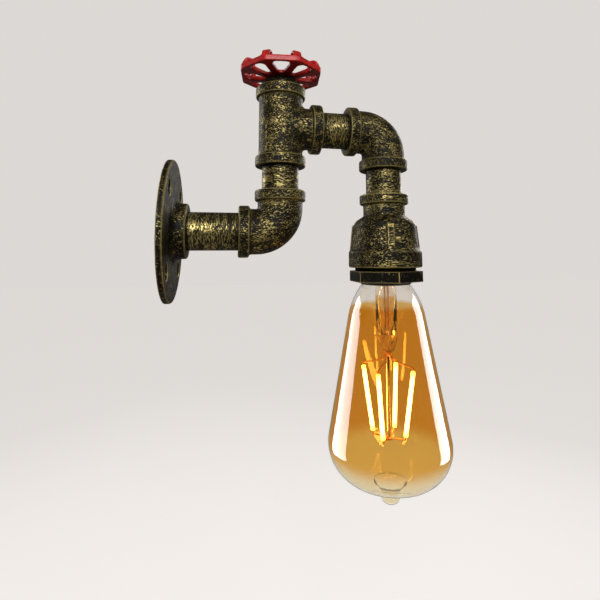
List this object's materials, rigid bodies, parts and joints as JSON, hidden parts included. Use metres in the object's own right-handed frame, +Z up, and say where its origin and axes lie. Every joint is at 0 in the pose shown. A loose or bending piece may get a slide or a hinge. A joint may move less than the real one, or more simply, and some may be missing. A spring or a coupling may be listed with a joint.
{
  "type": "industrial pipe wall light",
  "caption": "Wall light of threaded pipe and fittings that rise, reach out and drop to a teardrop filament bulb, with a round wall flange and a red handwheel.",
  "frame": {"origin": "centre of the wall flange on its back face, at the wall", "axes": "+X out from the wall along the first pipe, +Z up, -Y to the side that the picture looks from"},
  "size_m": [0.1593, 0.078, 0.2515],
  "materials": {
    "flange_finish": "antique brass over black, satin",
    "pipe_finish": "antique brass over black, brushed",
    "fitting_finish": "antique brass over black, rubbed edges",
    "hex_finish": "dark bronze with rubbed edges",
    "plug_black": "black satin paint",
    "wheel_red": "gloss red paint",
    "plated_steel": "zinc plated",
    "holder_black": "black moulded",
    "contact_brass": "bare",
    "live_sheath": "brown insulation",
    "neutral_sheath": "blue insulation",
    "earth_sheath": "green and yellow insulation",
    "cap_metal": "bright",
    "cap_insulator": "black glass",
    "board_green": "laminate with solder mask",
    "amber_glass": "clear above and below, amber coat between",
    "clear_glass": "clear",
    "copper_wire": "bare copper",
    "filament_glow": "warm phosphor coat"
  },
  "bodies": {
    "fixture": {"wall_flange": "flange_finish", "wall_nipple": "pipe_finish", "lower_elbow": "fitting_finish", "riser_nipple": "pipe_finish", "tee": "fitting_finish", "arm_nipple": "pipe_finish", "upper_elbow": "fitting_finish", "drop_nipple": "pipe_finish", "reducing_socket": "fitting_finish", "hex_bushing": "hex_finish", "lampholder_body": "holder_black", "lampholder_shell": "contact_brass", "centre_contact": "contact_brass", "contact_rivet": "contact_brass", "shell_rivet": "contact_brass", "live_terminal": "contact_brass", "neutral_terminal": "contact_brass", "terminal_screws": "plated_steel", "earth_tag": "contact_brass", "live_lead": "live_sheath", "neutral_lead": "neutral_sheath", "earth_lead": "earth_sheath", "top_plug": "plug_black"},
    "handwheel_set": {"wheel_spindle": "plated_steel", "spindle_clip": "plated_steel", "handwheel": "wheel_red", "wheel_washer": "plated_steel", "wheel_nut": "plated_steel"},
    "bulb": {"bulb_cap": "cap_metal", "cap_insulator": "cap_insulator", "cap_contact": "contact_brass", "driver_board": "board_green", "bulb_glass": "amber_glass", "glass_stem": "clear_glass", "exhaust_tube": "clear_glass", "lead_in_wires": "copper_wire", "wire_crimp": "copper_wire", "support_wires": "copper_wire", "filaments": "filament_glow", "filament_joint": "copper_wire", "centre_rod": "clear_glass"}
  },
  "joints": [
    {"name": "handwheel_turn", "type": "hinge", "parent": "fixture", "child": "handwheel_set", "pos_m": [0.0612, 0, 0.093], "axis": [0, 0, 1], "continuous": true},
    {"name": "bulb_release", "type": "slide", "parent": "fixture", "child": "bulb", "axis": [0, 0, -1], "range_m": [0, 0.032]}
  ]
}
